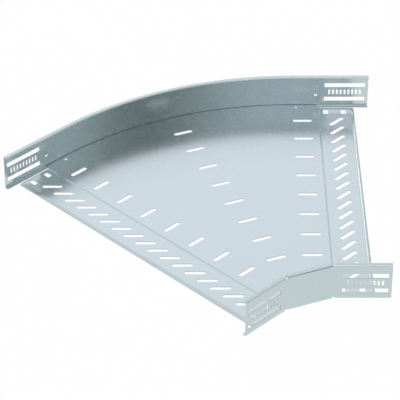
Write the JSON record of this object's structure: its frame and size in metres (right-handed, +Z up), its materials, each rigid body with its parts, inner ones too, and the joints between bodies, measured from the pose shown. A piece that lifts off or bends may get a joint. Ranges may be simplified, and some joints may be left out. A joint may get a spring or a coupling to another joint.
{
  "type": "cable tray bend",
  "caption": "Flat forty-five degree bend for perforated cable tray: slotted base plate, curved outer wall and folded inner wall, with rolled rims and slotted coupling lugs at both ends.",
  "frame": {"origin": "on the floor under the middle of the end edge of the inlet, where the lowered end strip turns down", "axes": "+X points out of the inlet along the tray, +Y across the inlet towards the outer wall, +Z up from the base plate to the rims"},
  "size_m": [0.5521, 0.5791, 0.0574],
  "materials": {
    "base_steel": "strip-galvanised sheet, satin, faint blue-grey",
    "wall_steel": "strip-galvanised sheet, satin, faint blue-grey"
  },
  "bodies": {
    "root": {"base_plate": "base_steel", "outer_side_wall": "wall_steel", "inner_side_wall": "wall_steel"}
  },
  "joints": []
}
